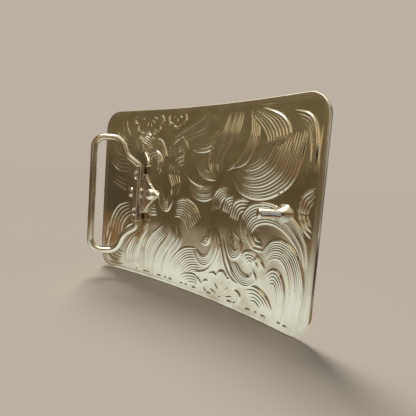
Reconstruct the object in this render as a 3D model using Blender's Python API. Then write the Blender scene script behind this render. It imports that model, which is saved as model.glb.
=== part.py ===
"""Belt buckle: a curved face plate that carries a hinged wire bail and a fixed prong on its back.

The buckle stands on its lower long edge. X runs along its length, from the bail at -X to the prong
at +X. The decorated front faces +Y and the wearer is at -Y. Units are metres. The origin is on the
lower edge, at mid-length and mid-thickness.
"""

import math

import bmesh
import bpy
from mathutils import Vector

# Face plate. Its length is measured along the curve and its bend radius is the panel's back face.
PLATE_LENGTH = 0.095
PLATE_HEIGHT = 0.0635
PLATE_THICKNESS = 0.0011
CORNER_RADIUS = 0.007
BEND_RADIUS = 0.2232
RIM_WIDTH = 0.0021
RIM_STEP = 0.0002

# Hinge bracket: a barrel rolled from sheet on a strap that ends in a pointed wing on either side.
HINGE_ALONG = -0.0264
HINGE_UP = 0.0002
BARREL_LENGTH = 0.0208
BARREL_RADIUS = 0.00195
BARREL_BORE_RADIUS = 0.0015
AXIS_HEIGHT = 0.0025
SHEET_GAP = 0.00035
SHEET_THICKNESS = 0.0008
WING_REACH = 0.0089
WING_ROOT_HALF = 0.0073
WING_WAIST = (0.0046, 0.0036)
WING_SWEEP = (0.0029, 0.0049)
SEAM_WIDTH = 0.00022
SEAM_DEPTH = 0.00025
SEAM_TURN = math.radians(3)
CRIMP_TURN = math.radians(16)
CRIMP_SPREAD = 0.0068
CRIMP_HALF_SIZES = (0.0009, 0.0004, 0.00135)

# Rivets, one through each wing.
RIVET_SPREAD = 0.0050
RIVET_HEAD_RADIUS = 0.00215
RIVET_DOME_HEIGHT = 0.00115
RIVET_SHANK_RADIUS = 0.0010
RIVET_HOLE_RADIUS = 0.0012
SEAT_GAP = 0.00015

# Bail: one bent wire, symmetric about its own middle. It hangs BAIL_DROP below the barrel's middle.
WIRE_RADIUS = 0.0012
BAIL_REACH = 0.0169
BAIL_HALF_HEIGHT = 0.0214
BAIL_LIFT = math.radians(38)
BAIL_DROP = 0.0011
LEG_END = 0.0035
LEG_BEND = (0.0, 0.0119)
LEG_KNEE = (0.0047, 0.0150)
LEG_SHOULDER = 0.0069
BEND_RADII = (0.0017, 0.0060, 0.0045, 0.0041)

# Prong and the solder that holds its foot.
PRONG_ALONG = 0.0361
PRONG_RADIUS = 0.0015
PRONG_LENGTH = 0.0074
PRONG_LEAN = math.radians(29)
PRONG_TIP_ROUND = 0.0005
SOLDER_RADIUS = 0.0029
SOLDER_HEIGHT = 0.0019
SOLDER_LIP = 0.0002
SOLDER_GAP = 0.00012

# Facets.
CORNER_STEPS = 8
PLATE_COLUMN = 0.0045
BARREL_SIDES = 40
WIRE_SIDES = 12
BEND_STEPS = 6
ROUND_SIDES = 24
DOME_RINGS = 6
SWEEP_STEPS = 6
SHARP_ANGLE = math.radians(35)


def clear_scene():
    for old in list(bpy.data.objects):
        bpy.data.objects.remove(old, do_unlink=True)


def metal(name, color, roughness):
    """An all-metal Principled material."""
    made = bpy.data.materials.new(name)
    made.use_nodes = True
    shader = made.node_tree.nodes["Principled BSDF"]
    shader.inputs["Base Color"].default_value = (*color, 1.0)
    shader.inputs["Metallic"].default_value = 1.0
    shader.inputs["Roughness"].default_value = roughness
    return made


def add_object(name, bm, material=None, parent=None, location=(0, 0, 0), turn=0.0):
    """Turn a bmesh into a smooth-shaded object, placed under its parent and turned about Z."""
    bmesh.ops.recalc_face_normals(bm, faces=bm.faces)
    mesh = bpy.data.meshes.new(name)
    bm.to_mesh(mesh)
    bm.free()
    mesh.shade_smooth()
    mesh.set_sharp_from_angle(angle=SHARP_ANGLE)
    made = bpy.data.objects.new(name, mesh)
    bpy.context.scene.collection.objects.link(made)
    made.parent = parent
    made.location = location
    made.rotation_euler = (0, 0, turn)
    if material:
        mesh.materials.append(material)
    return made


def add_empty(name, parent=None, location=(0, 0, 0), turn=0.0):
    made = bpy.data.objects.new(name, None)
    made.empty_display_size = 0.005
    bpy.context.scene.collection.objects.link(made)
    made.parent = parent
    made.location = location
    made.rotation_euler = (0, 0, turn)
    return made


def cut(target, tool, operation="DIFFERENCE"):
    """Add an exact Boolean to target and keep its tool out of the render."""
    tool.hide_render = True
    tool.display_type = "WIRE"
    boolean = target.modifiers.new(tool.name, "BOOLEAN")
    boolean.operation = operation
    boolean.solver = "EXACT"
    boolean.object = tool


def on_plate(along, up, height):
    """A point over the curved plate: along its length, up from its middle, height off its back."""
    angle = along / BEND_RADIUS
    radius = BEND_RADIUS - height
    x = radius * math.sin(angle)
    y = radius * math.cos(angle) - BEND_RADIUS - PLATE_THICKNESS / 2
    return Vector((x, y, PLATE_HEIGHT / 2 + up))


def add_seat(name, along, up):
    """An empty on the plate's back face. Its X runs along the plate and its -Y is off the plate."""
    return add_empty(name, location=on_plate(along, up, 0), turn=-along / BEND_RADIUS)


def arc(center, radius, start, end, steps):
    """Points on an arc in a plane, both ends included."""
    angles = [start + (end - start) * step / steps for step in range(steps + 1)]
    return [(center[0] + radius * math.cos(a), center[1] + radius * math.sin(a)) for a in angles]


def rounded_rectangle(inset):
    """The plate's outline in its own flat plane, moved inwards by inset."""
    half_x = PLATE_LENGTH / 2 - CORNER_RADIUS
    half_y = PLATE_HEIGHT / 2 - CORNER_RADIUS
    points = []
    for quarter, (side_x, side_y) in enumerate(((1, 1), (-1, 1), (-1, -1), (1, -1))):
        start = quarter * math.pi / 2
        center = (side_x * half_x, side_y * half_y)
        points += arc(center, CORNER_RADIUS - inset, start, start + math.pi / 2, CORNER_STEPS)
    return points


def bridge(bm, lower, upper):
    """Quads between two closed rings of vertices."""
    for index, vertex in enumerate(lower):
        after = (index + 1) % len(lower)
        bm.faces.new((vertex, lower[after], upper[after], upper[index]))


def loft(bm, rings, caps=True):
    """Quads through a list of closed rings of points, with a face over each end."""
    loops = [[bm.verts.new(point) for point in ring] for ring in rings]
    for lower, upper in zip(loops, loops[1:]):
        bridge(bm, lower, upper)
    if caps:
        bm.faces.new(loops[0])
        bm.faces.new(loops[-1])
    else:
        bridge(bm, loops[-1], loops[0])


def circle(radius, sides=ROUND_SIDES):
    """Points of a circle about the origin, without the repeated last one."""
    return arc((0, 0), radius, 0, 2 * math.pi * (sides - 1) / sides, sides - 1)


def make_face_plate():
    """A sheet with a flat rim, whose panel stands RIM_STEP further forward than the rim."""
    bm = bmesh.new()
    edge = rounded_rectangle(0)
    rim = rounded_rectangle(RIM_WIDTH)
    back_rim = RIM_STEP
    front_rim = RIM_STEP - PLATE_THICKNESS
    rings = [
        [(x, y, 0) for x, y in rim],
        [(x, y, back_rim) for x, y in rim],
        [(x, y, back_rim) for x, y in edge],
        [(x, y, front_rim) for x, y in edge],
        [(x, y, front_rim) for x, y in rim],
        [(x, y, -PLATE_THICKNESS) for x, y in rim],
    ]
    loft(bm, rings)
    columns = {round(x, 6) for x, _ in edge + rim}
    count = round(PLATE_LENGTH / PLATE_COLUMN)
    columns |= {round(PLATE_LENGTH * (step / count - 0.5), 6) for step in range(1, count)}
    for x in sorted(columns):
        everything = bm.verts[:] + bm.edges[:] + bm.faces[:]
        bmesh.ops.bisect_plane(
            bm, geom=everything, dist=1e-7, plane_co=(x, 0, 0), plane_no=(1, 0, 0)
        )
    for vertex in bm.verts:
        vertex.co = on_plate(*vertex.co)
    nickel = metal("plate_nickel", (0.60, 0.56, 0.46), 0.18)
    return add_object("face_plate", bm, nickel)


def wing_outline():
    """The strap's outline over one quadrant, from beside the barrel to the wing's point."""
    start = Vector((BARREL_RADIUS, WING_ROOT_HALF))
    sweep = Vector(WING_SWEEP)
    waist = Vector(WING_WAIST)
    points = []
    for step in range(SWEEP_STEPS + 1):
        t = step / SWEEP_STEPS
        points.append((1 - t) ** 2 * start + 2 * t * (1 - t) * sweep + t * t * waist)
    return points


def wing_mesh():
    """A flat strap under the barrel whose two ends are the pointed wings."""
    bm = bmesh.new()
    quadrant = [(point.x, point.y) for point in wing_outline()]
    upper = quadrant + [(WING_REACH, 0)]
    right = upper + [(x, -z) for x, z in reversed(quadrant)]
    outline = right + [(-x, -z) for x, z in right]
    rings = []
    for height in (SHEET_GAP, SHEET_GAP + SHEET_THICKNESS):
        rings.append([(x, -height, z) for x, z in outline])
    loft(bm, rings)
    return bm


def cylinder_mesh(radius, length, sides):
    """A closed cylinder along Z, centred on the origin."""
    bm = bmesh.new()
    bmesh.ops.create_cone(
        bm, cap_ends=True, segments=sides, radius1=radius, radius2=radius, depth=length
    )
    return bm


def crimp_mesh():
    """Two egg-shaped tools that dent the barrel near its ends."""
    bm = bmesh.new()
    for side in (-1, 1):
        made = bmesh.ops.create_icosphere(bm, subdivisions=2, radius=1)["verts"]
        bmesh.ops.scale(bm, vec=CRIMP_HALF_SIZES, verts=made)
        bmesh.ops.translate(bm, vec=(0, -BARREL_RADIUS, side * CRIMP_SPREAD), verts=made)
    return bm


def seam_mesh():
    """A thin slab that cuts the closing line of the rolled sheet."""
    bm = bmesh.new()
    bmesh.ops.create_cube(bm, size=1)
    bmesh.ops.scale(bm, vec=(SEAM_WIDTH, 2 * SEAM_DEPTH, 1.2 * BARREL_LENGTH), verts=bm.verts)
    bmesh.ops.translate(bm, vec=(0, -BARREL_RADIUS, 0), verts=bm.verts)
    return bm


def rivet_hole_mesh():
    """A cylinder across each wing, in the wing's own place."""
    bm = bmesh.new()
    length = 4 * SHEET_THICKNESS
    for side in (-1, 1):
        rings = []
        for depth in (0, -length):
            ring = circle(RIVET_HOLE_RADIUS)
            rings.append([(side * RIVET_SPREAD + x, depth, z) for x, z in ring])
        loft(bm, rings)
    return bm


def make_hinge_bracket(seat):
    nickel = metal("bracket_nickel", (0.55, 0.50, 0.42), 0.20)
    middle = (0, -AXIS_HEIGHT, 0)
    barrel = cylinder_mesh(BARREL_RADIUS, BARREL_LENGTH, BARREL_SIDES)
    bracket = add_object("hinge_bracket", barrel, nickel, seat, middle)
    wings = add_object("wing_tool", wing_mesh(), parent=seat)
    cut(bracket, wings, "UNION")
    bore = cylinder_mesh(BARREL_BORE_RADIUS, 1.2 * BARREL_LENGTH, ROUND_SIDES)
    cut(bracket, add_object("bore_tool", bore, None, seat, middle))
    cut(bracket, add_object("crimp_tool", crimp_mesh(), None, seat, middle, CRIMP_TURN))
    cut(bracket, add_object("seam_tool", seam_mesh(), None, seat, middle, SEAM_TURN))
    cut(bracket, add_object("rivet_hole_tool", rivet_hole_mesh(), None, seat))
    return bracket


def make_rivet(name, side, seat):
    """A dome-headed rivet that stands on the plate and clamps one wing."""
    bm = bmesh.new()
    shank = circle(RIVET_SHANK_RADIUS)
    under_head = SHEET_GAP + SHEET_THICKNESS + SEAT_GAP
    rings = [[(x, -SEAT_GAP, z) for x, z in shank], [(x, -under_head, z) for x, z in shank]]
    for step in range(DOME_RINGS):
        turn = 0.5 * math.pi * step / DOME_RINGS
        height = under_head + RIVET_DOME_HEIGHT * math.sin(turn)
        rings.append([(x, -height, z) for x, z in circle(RIVET_HEAD_RADIUS * math.cos(turn))])
    loft(bm, rings)
    nickel = metal(name + "_nickel", (0.72, 0.70, 0.62), 0.15)
    return add_object(name, bm, nickel, seat, (side * RIVET_SPREAD, 0, 0))


def rounded_path(corners, radii, steps):
    """A polyline whose inner corners are replaced by arcs of the given radii."""
    path = [Vector(corners[0])]
    for before, corner, after, radius in zip(corners, corners[1:], corners[2:], radii):
        corner = Vector(corner)
        to_before = (Vector(before) - corner).normalized()
        to_after = (Vector(after) - corner).normalized()
        half_angle = to_before.angle(to_after) / 2
        tangent = radius / math.tan(half_angle)
        center = corner + (to_before + to_after).normalized() * radius / math.sin(half_angle)
        first = corner + to_before * tangent - center
        last = corner + to_after * tangent - center
        sweep = first.angle(last)
        for step in range(steps + 1):
            share = step / steps
            spoke = math.sin((1 - share) * sweep) * first + math.sin(share * sweep) * last
            path.append(center + spoke / math.sin(sweep))
    path.append(Vector(corners[-1]))
    return path


def bail_path():
    """The wire's centre line, (reach, up), from the upper leg's end round to the lower leg's end."""
    shoulder = (LEG_SHOULDER, BAIL_HALF_HEIGHT)
    corner = (BAIL_REACH, BAIL_HALF_HEIGHT)
    corners = [(0, LEG_END), LEG_BEND, LEG_KNEE, shoulder, corner, (BAIL_REACH, 0)]
    upper = rounded_path(corners, BEND_RADII, BEND_STEPS)
    lower = [Vector((point.x, -point.y)) for point in reversed(upper[:-1])]
    return upper + lower


def sweep_mesh(path, radius, sides):
    """A round wire along a flat path in the XZ plane."""
    bm = bmesh.new()
    rings = []
    for index, point in enumerate(path):
        before = path[max(index - 1, 0)]
        after = path[min(index + 1, len(path) - 1)]
        into = (point - before).normalized()
        out = (after - point).normalized()
        tangent = (into + out).normalized()
        normal = Vector((-tangent.y, tangent.x))
        ring = []
        for across, depth in circle(radius, sides):
            spot = point + normal * across
            ring.append((spot.x, depth, spot.y))
        rings.append(ring)
    loft(bm, rings)
    return bm


def make_bail(seat):
    """The bail hangs on an empty at the barrel's axis, whose X is the way that the bail reaches."""
    pivot = add_empty("bail_axis", seat, (0, -AXIS_HEIGHT, -BAIL_DROP), math.pi + BAIL_LIFT)
    wire = sweep_mesh(bail_path(), WIRE_RADIUS, WIRE_SIDES)
    return add_object("bail", wire, metal("wire_nickel", (0.62, 0.58, 0.48), 0.15), pivot)


def prong_slice(height, grow=0.0):
    """The prong's outline at one height over the plate, where it leans towards the bail."""
    middle = -height * math.tan(PRONG_LEAN)
    half_length = PRONG_RADIUS / math.cos(PRONG_LEAN) + grow
    half_width = PRONG_RADIUS + grow
    ring = circle(1.0)
    return [(middle + half_length * x, -height, half_width * z) for x, z in ring]


def make_prong(seat):
    """A straight round peg with a rounded tip."""
    bm = bmesh.new()
    axis = Vector((-math.sin(PRONG_LEAN), -math.cos(PRONG_LEAN), 0))
    across = Vector((math.cos(PRONG_LEAN), -math.sin(PRONG_LEAN), 0))
    rings = [prong_slice(SEAT_GAP)]
    for step in range(4):
        turn = 0.5 * math.pi * step / 3
        reach = PRONG_LENGTH - PRONG_TIP_ROUND * (1 - math.sin(turn))
        radius = PRONG_RADIUS - PRONG_TIP_ROUND * (1 - math.cos(turn))
        ring = [axis * reach + across * x + Vector((0, 0, z)) for x, z in circle(radius)]
        rings.append(ring)
    loft(bm, rings)
    return add_object("prong", bm, metal("prong_nickel", (0.68, 0.66, 0.60), 0.15), seat)


def make_prong_solder(seat):
    """A hollow flare of solder, wide on the plate and thin where it ends on the prong."""
    bm = bmesh.new()
    base_grow = SOLDER_RADIUS - PRONG_RADIUS
    lip_grow = SOLDER_GAP + SOLDER_LIP
    steps = 5
    rings = []
    for step in range(steps + 1):
        share = step / steps
        height = SEAT_GAP + (SOLDER_HEIGHT - SEAT_GAP) * share
        grow = lip_grow + (base_grow - lip_grow) * (1 - share) ** 2
        rings.append(prong_slice(height, grow))
    rings.append(prong_slice(SOLDER_HEIGHT, SOLDER_GAP))
    rings.append(prong_slice(SEAT_GAP, SOLDER_GAP))
    loft(bm, rings, caps=False)
    return add_object("prong_solder", bm, metal("solder_silver", (0.66, 0.64, 0.56), 0.35), seat)


def main():
    clear_scene()
    make_face_plate()
    hinge_seat = add_seat("hinge_seat", HINGE_ALONG, HINGE_UP)
    make_hinge_bracket(hinge_seat)
    make_rivet("rivet_outer", -1, hinge_seat)
    make_rivet("rivet_inner", 1, hinge_seat)
    make_bail(hinge_seat)
    prong_seat = add_seat("prong_seat", PRONG_ALONG, 0)
    make_prong(prong_seat)
    make_prong_solder(prong_seat)


main()
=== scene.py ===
"""Looks of a western dress buckle, seen from the wearer's side.

A curved nickel-silver plate with a raised flat rim and struck scrollwork carries a rolled hinge
bracket, a wire bail and a soldered prong. Places on the plate are given as (along, up) in
millimetres from its middle: along its curved length towards the prong, and up.
"""

import math

import bpy
import numpy as np
from mathutils import Matrix, Vector


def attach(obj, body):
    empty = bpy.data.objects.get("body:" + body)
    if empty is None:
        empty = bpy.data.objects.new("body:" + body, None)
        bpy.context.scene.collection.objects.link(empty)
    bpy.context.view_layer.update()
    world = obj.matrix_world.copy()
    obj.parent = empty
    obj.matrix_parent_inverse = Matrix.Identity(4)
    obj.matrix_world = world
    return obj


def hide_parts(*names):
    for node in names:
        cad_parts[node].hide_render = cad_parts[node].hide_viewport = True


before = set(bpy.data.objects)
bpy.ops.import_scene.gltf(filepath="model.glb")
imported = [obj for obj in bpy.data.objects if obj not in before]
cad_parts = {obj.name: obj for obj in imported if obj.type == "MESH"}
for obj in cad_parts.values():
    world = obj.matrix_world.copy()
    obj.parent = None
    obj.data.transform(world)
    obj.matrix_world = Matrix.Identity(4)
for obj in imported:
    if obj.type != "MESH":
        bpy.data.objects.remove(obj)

MM = 0.001
SHARP_TURN = math.radians(60)
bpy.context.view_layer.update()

# Plate, in millimetres. Heights are off the panel's back face, towards the wearer.
PLATE_LENGTH = 95.0
PLATE_HEIGHT = 63.5
PLATE_THICKNESS = 1.1
CORNER_RADIUS = 7.0
BEND_RADIUS = 223.2
RIM_WIDTH = 1.7
RIM_STEP = 0.14
EDGE_ROUND = 0.28
PANEL_CELL = 0.17
FRONT_CELL = 0.30

# Struck lines, in millimetres: (width, height) of each kind, then how they are laid out.
BOLD_LINE = (0.36, 0.36)
MEDIUM_LINE = (0.26, 0.25)
FINE_LINE = (0.20, 0.18)
FLOWER_LINE = (0.46, 0.36)
BODY_HEIGHT = 0.16
LINE_PITCH = 0.95
BORDER_FADE = 0.2
BORDER_DASHES = 19

# Hinge bracket, in millimetres.
HINGE_PLACE = (-26.4, 0.2)
BARREL_LENGTH = 20.8
BARREL_RADIUS = 1.95
BORE_RADIUS = 1.5
AXIS_HEIGHT = 2.5
STRAP_TOP = 0.68
STRAP_EDGE = 0.22
WING_REACH = 8.7
WING_ROOT_HALF = 7.3
WING_WAIST = (4.6, 3.6)
WING_SWEEP = (2.9, 4.9)
WING_HOLLOW = 1.3
SEAM_TURN = math.radians(3)
CRIMP_TURN = math.radians(16)
CRIMP_SPREAD = 6.8

# Rivets, in millimetres.
RIVET_SPREAD = 5.0
RIVET_RADIUS = 2.15
RIVET_DOME = 1.6

# Bail wire, in millimetres.
WIRE_RADIUS = 1.2
BAIL_REACH = 16.9
BAIL_HALF_HEIGHT = 21.4
BAIL_LIFT = math.radians(38)
BAIL_DROP = 1.1
LEG_END = 3.5
LEG_BEND = (0.0, 11.9)
LEG_KNEE = (4.7, 15.0)
LEG_SHOULDER = 6.9
BEND_RADII = (1.7, 6.0, 4.5, 4.1)
WIRE_RINGS = 420
WIRE_SIDES = 40

# Prong and solder, in millimetres.
PRONG_ALONG = 36.1
PRONG_RADIUS = 1.5
PRONG_LENGTH = 7.4
PRONG_LEAN = math.radians(29)
SOLDER_RADIUS = 2.9
SOLDER_HEIGHT = 1.9
TIP_ROUND = 0.65
TURNED_SIDES = 64
SOLDER_RINGS = 44
SOLDER_SIDES = 120

# Scrollwork. Each plume is a fan of lines between two curves: (first, last, least number of lines).
# A wide plume gets more lines, at LINE_PITCH.
PLUMES = (
    # upper right: a wide bowl of long lines, the leaf above it and the corner
    (((15, 9), (20, 4.6), (26.5, 3.4), (33.4, 5.4), (39, 10.8), (41.5, 24)),
     ((19.5, 12), (25, 13.9), (30.5, 18.5)), 10),
    (((26, 29), (33, 26), (35.8, 21.5), (32.5, 18.5)),
     ((21.5, 28), (26, 24), (28.5, 20), (27, 18)), 7),
    (((36.5, 27.5), (42, 25.5), (44.3, 20), (44.5, 11)),
     ((39, 24), (41.8, 21.5), (43, 16), (42.3, 9)), 5),
    # top centre: a large leaf and the leaf beside it
    (((13, 10.5), (18, 13.5), (21, 18), (22.4, 23), (21.4, 29.2)),
     ((15, 11.5), (21, 13.5), (24.5, 19.5), (25, 24), (25.4, 29.2)), 5),
    (((9.5, 7.5), (5.8, 12), (7, 18), (11, 23), (13.5, 29.4)),
     ((12, 10), (13, 15), (16, 20), (18, 25), (18.5, 29.4)), 10),
    (((-13.5, 14.5), (-12, 19.5), (-7, 23.5), (0, 26.2), (4.5, 29.4)),
     ((-11, 13.5), (-9, 18), (-4, 21), (4, 23.5), (10, 29.4)), 7),
    (((-4.5, 17.2), (1, 16.6), (6.5, 17.6), (11.5, 22)),
     ((-1, 19.5), (3, 19.8), (7, 21.5), (10, 25)), 4),
    # middle: nested arches and short arcs
    (((-12.8, 14), (-11.4, 19), (-7.2, 21.3), (-4, 17.2)),
     ((-10, 12.6), (-9, 16.3), (-7, 17), (-5.4, 13.8)), 5),
    (((-9.6, 12.5), (-8.3, 14.6), (-5.4, 14.8)), ((-8, 10.2), (-7, 12), (-5.4, 12)), 3),
    (((-12, 12), (-12.8, 8), (-10.8, 4), (-11.5, 0)),
     ((-7.2, 11), (-8.2, 8), (-7.4, 5), (-8.5, 1)), 5),
    (((-5.5, 8.8), (-1, 5.8), (3.5, 4.8), (8.4, 5.3)),
     ((-1.5, 1.9), (2.5, 0.7), (6, 0.9), (9, 2.4)), 6),
    (((-0.8, 12.6), (2, 9.4), (5, 8), (9.4, 7.6)),
     ((2.3, 12.8), (4.3, 10.5), (6.8, 9.6), (9.6, 8.8)), 4),
    (((8.5, -2.2), (8.9, 2.2), (11.3, 4.8), (15, 5.2)),
     ((11.5, -1.2), (12.4, 1.4), (14.3, 2.8), (16.5, 2.8)), 5),
    (((13.1, -1.8), (14.2, 1.9), (17.3, 3.2)), ((15.5, -2.4), (16.2, -0.2), (18.3, 0.8)), 4),
    (((16.4, -3.4), (17.5, 0.7), (20, 2.3), (23.4, 2.4)),
     ((19.2, -4), (20.2, -1.4), (22.5, -0.4)), 4),
    # right: the scroll round the prong and the lens at the edge
    (((22.2, -9.5), (21, -3.5), (24, 0.7), (29, 2.1), (34.6, 1.3), (40.2, -1.8), (44.2, -6.5), (45.2, -12)),
     ((27.5, -11), (25.2, -7.5), (26.8, -4.4), (31.5, -3), (36.5, -4.2), (41.5, -8), (44, -13.5)), 8),
    (((30, -11.4), (26.2, -11), (23.4, -7.6)), ((29, -8.8), (27.2, -8.4), (26.2, -6.8)), 3),
    (((41, 1), (42, 5.3), (45.2, 7.6)), ((43.6, 0.8), (44.2, 3), (45.3, 4.4)), 4),
    (((41, 1), (42.4, -2), (45.3, -4.6)), ((43.6, 0.6), (44.2, -0.6), (45.3, -1.8)), 3),
    # lower right: nested arches
    (((30.3, -11.2), (33, -8.2), (36.8, -7.5), (41.2, -9.6), (44, -15), (44.6, -21), (43.2, -29.3)),
     ((31.5, -15), (33.5, -12.8), (36.2, -12.3), (38.6, -14.2), (40.2, -18), (40.5, -23), (39.3, -29.3)), 8),
    (((31.8, -17.8), (34.3, -15.8), (36.8, -16.6), (38.5, -20), (38.8, -25), (37.9, -29.4)),
     ((33, -20.6), (34.8, -19.6), (36, -21.2), (36.6, -25), (36.3, -29.4)), 5),
    (((24, -23.6), (28, -22.4), (32, -23.6), (34.6, -26.4), (35.2, -29.4)),
     ((26.2, -27.4), (28.5, -26.6), (30.4, -27.6), (31.4, -29.4)), 5),
    # lower middle: stems, drop, leaves and coil
    (((11, -8), (12.9, -13), (11.4, -18.5), (7.6, -22.6), (1.2, -24.5)),
     ((12.4, -16), (11.8, -20), (8, -23.8), (1.6, -25.7)), 2),
    (((13.4, -12.8), (15.6, -18.6), (19.2, -22.4), (24, -23.6)),
     ((14.2, -11), (16.4, -16.4), (20, -20.8), (24.6, -22.8)), 2),
    (((16.9, -7), (16.1, -12), (18.5, -15.8), (21.6, -14), (21, -10.4), (18.2, -7.6)),
     ((18.4, -10.6), (18.2, -12.5), (19.1, -13.7), (20.3, -12.9), (19.8, -11.2)), 3),
    (((1, -16.8), (3.5, -20), (7, -20.8), (10.2, -18), (11.6, -13), (10.8, -8)),
     ((3, -16.4), (5, -17.8), (7.3, -17.3), (8.8, -14.8), (9.2, -11.5), (8.4, -7.5)), 6),
    (((4.6, -13.6), (7.2, -13.6), (8.3, -11.5), (8, -8.8)),
     ((5.6, -11.8), (6.8, -11.6), (7.4, -10.6), (7.3, -9.4)), 4),
    (((22.2, -15.2), (24, -12.8), (27.8, -13.2), (27.4, -16.2)),
     ((24.5, -16.5), (25.5, -15.2), (26.6, -15.8)), 4),
    (((27.6, -13.2), (29.6, -14.4), (31.2, -16.4)),
     ((26.8, -14.6), (28.2, -15.6), (29.2, -17.2)), 2),
    (((16.6, -16.6), (19.5, -21), (24.5, -23), (28.3, -20.5), (27, -17.5)),
     ((20.5, -17), (22.5, -19.2), (25.3, -20), (26.3, -18.8)), 6),
    # lower left: long strokes that sweep down to the border, and the arcs beside the flower
    (((-14.5, -10.5), (-20, -15.3), (-22.8, -20.5), (-22.4, -29.4)),
     ((-12.6, -13.6), (-16.4, -17.5), (-18.6, -21.5), (-18.6, -29.4)), 6),
    (((-10.5, -8.6), (-11.4, -14), (-15.4, -19.3), (-17.6, -24), (-17.6, -29.4)),
     ((-8.6, -11), (-8.2, -14.8), (-11.6, -19), (-14, -23), (-14.2, -29.4)), 6),
    (((-7.5, -9.6), (-6.6, -14), (-10, -18.5), (-12.6, -23.5), (-13, -29.4)),
     ((-4.5, -13), (-6, -17), (-8.6, -20), (-9.8, -25), (-10.2, -29.4)), 5),
    (((-11, -29.4), (-8.6, -22.3), (-3.6, -17.4), (1.8, -16)),
     ((-3, -29.4), (-1.6, -26.4), (1, -24), (5, -23.2)), 10),
    (((-5.4, -29.4), (-2.4, -26.2), (3, -25.3), (6.5, -28)),
     ((-1.4, -29.4), (0.5, -28.2), (3.5, -28), (5.2, -29.4)), 3),
    (((-8.7, -1.2), (-4.5, 0), (0, -1.4), (3.4, -5)),
     ((-9, -6.4), (-6, -6.2), (-3.6, -7.6), (-1.4, -11)), 7),
    (((-17.6, 1.2), (-16, -3.6), (-12.6, -4.6), (-10, -0.4)),
     ((-15.6, 1.4), (-14.4, -0.9), (-12.8, -0.9), (-12, 1.6)), 6),
    (((-24.5, -5.5), (-21, -7), (-17.8, -6.8)), ((-22.4, -2.4), (-20.6, -3.6), (-18.6, -3.6)), 4),
    # left: the coil and its hatched leaf
    (((-21.8, 11.6), (-22.6, 14.2), (-20.4, 16.4), (-17.4, 14.6), (-17, 10.6), (-19.2, 7)),
     ((-20.6, 12), (-20.6, 13.8), (-19, 14), (-18.6, 12), (-19.6, 10)), 3),
    (((-31, 19.4), (-26.4, 22.8), (-20.6, 20.4)), ((-28.6, 15), (-25.6, 16.6), (-22.6, 15)), 8),
    (((-20.2, 21.4), (-17, 19.6), (-14.2, 14.2)), ((-19.8, 19.6), (-17.6, 18), (-15.4, 14)), 2),
    (((-26, -29.4), (-27.2, -24), (-25.4, -17.5), (-22, -12.4)),
     ((-28, -29.4), (-29, -24.5), (-27.6, -19), (-24.6, -14.2)), 3),
)

# The strokes left of the bracket, which stand further apart: (first, last, exact number of lines).
SPARSE_PLUMES = (
    (((-43.6, -15.6), (-42, -10), (-38.6, -5.6), (-33.2, -3.6)),
     ((-37, -18.4), (-36.4, -13.6), (-34.4, -10.2), (-30.6, -7.6)), 5),
    (((-45, -20), (-44.4, -15), (-43.8, -11)), ((-44.4, -25), (-43.4, -20), (-42.2, -16.5)), 2),
    (((-44.2, -25.5), (-41, -27.8), (-36.8, -28.2)),
     ((-40, -22.4), (-37.5, -24.2), (-34.4, -24.4)), 4),
    (((-36, -17), (-33.4, -13.4), (-28.5, -11)), ((-33.5, -20.5), (-30.6, -17), (-27.2, -14.4)), 3),
    (((-32.6, -28.6), (-33, -24), (-31.4, -20), (-28.6, -16.4)),
     ((-28.4, -29.4), (-29.2, -25), (-28, -20.5), (-25.6, -16)), 4),
    (((-44.6, 12), (-40, 8.4), (-34.6, 8)), ((-43.6, 19), (-39.4, 14.4), (-34, 13.8)), 5),
    (((-44.4, 4.4), (-38.5, 1.8), (-34, 0.6)), ((-42.6, 7), (-38.5, 5), (-34.2, 4.2)), 3),
    (((-42.4, 25), (-38, 19.6), (-31.8, 17.6)), ((-40, 28.6), (-36, 23.6), (-31, 21.6)), 4),
    (((-36.8, 29.2), (-36, 25), (-33.2, 21.2)), ((-38.6, 29.2), (-38.4, 25), (-36, 20.6)), 2),
)

# Soft domes under a few leaves: (along, up, reach, height).
DOMES = (
    (-26.0, 18.6, 3.8, 1.25),
    (-23.2, 13.6, 2.6, 0.45),
    (-16.8, 1.8, 1.6, 0.16),
    (-33.0, 24.6, 3.2, 0.14),
    (-19.0, -9.6, 3.4, 0.16),
    (25.5, -15.8, 2.2, 0.14),
    (9.0, 17.5, 4.2, 0.18),
    (17.5, 23.0, 3.4, 0.14),
)

# Half flowers at the border: (middle along, edge up, radius, lobes, direction up or down).
FLOWERS = ((14.8, -29.6, 8.4, 5, 1), (-24.6, 29.4, 7.6, 6, -1), (-10.5, 29.4, 4.6, 3, -1))


def on_plate(along, up, height):
    """World points, in metres, for places over the curved plate given in millimetres."""
    angle = along / BEND_RADIUS
    radius = BEND_RADIUS - height
    x = radius * np.sin(angle)
    y = radius * np.cos(angle) - BEND_RADIUS - PLATE_THICKNESS / 2
    z = PLATE_HEIGHT / 2 + up + 0 * angle
    return np.stack((x, y, z), axis=-1) * MM


def seat(along, up):
    """The frame of a fitting on the plate: X along the plate, -Y off its back, in metres."""
    place = on_plate(np.float64(along), np.float64(up), np.float64(0))
    return Matrix.Translation(Vector(place)) @ Matrix.Rotation(-along / BEND_RADIUS, 4, "Z")


def transformed(points, matrix):
    """Points in millimetres in a local frame, as world points in metres."""
    turn = np.array(matrix.to_3x3())
    return (points * MM) @ turn.T + np.array(matrix.translation)


def grid_faces(rows, columns, wrap_rows=False, wrap_columns=False):
    """Quads over a grid of points numbered row by row."""
    row = np.arange(rows if wrap_rows else rows - 1)[:, None]
    column = np.arange(columns if wrap_columns else columns - 1)[None, :]
    row_after = (row + 1) % rows
    column_after = (column + 1) % columns
    corners = (row * columns + column, row * columns + column_after,
               row_after * columns + column_after, row_after * columns + column)
    return np.stack(corners, axis=-1).reshape(-1, 4).tolist()


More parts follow.
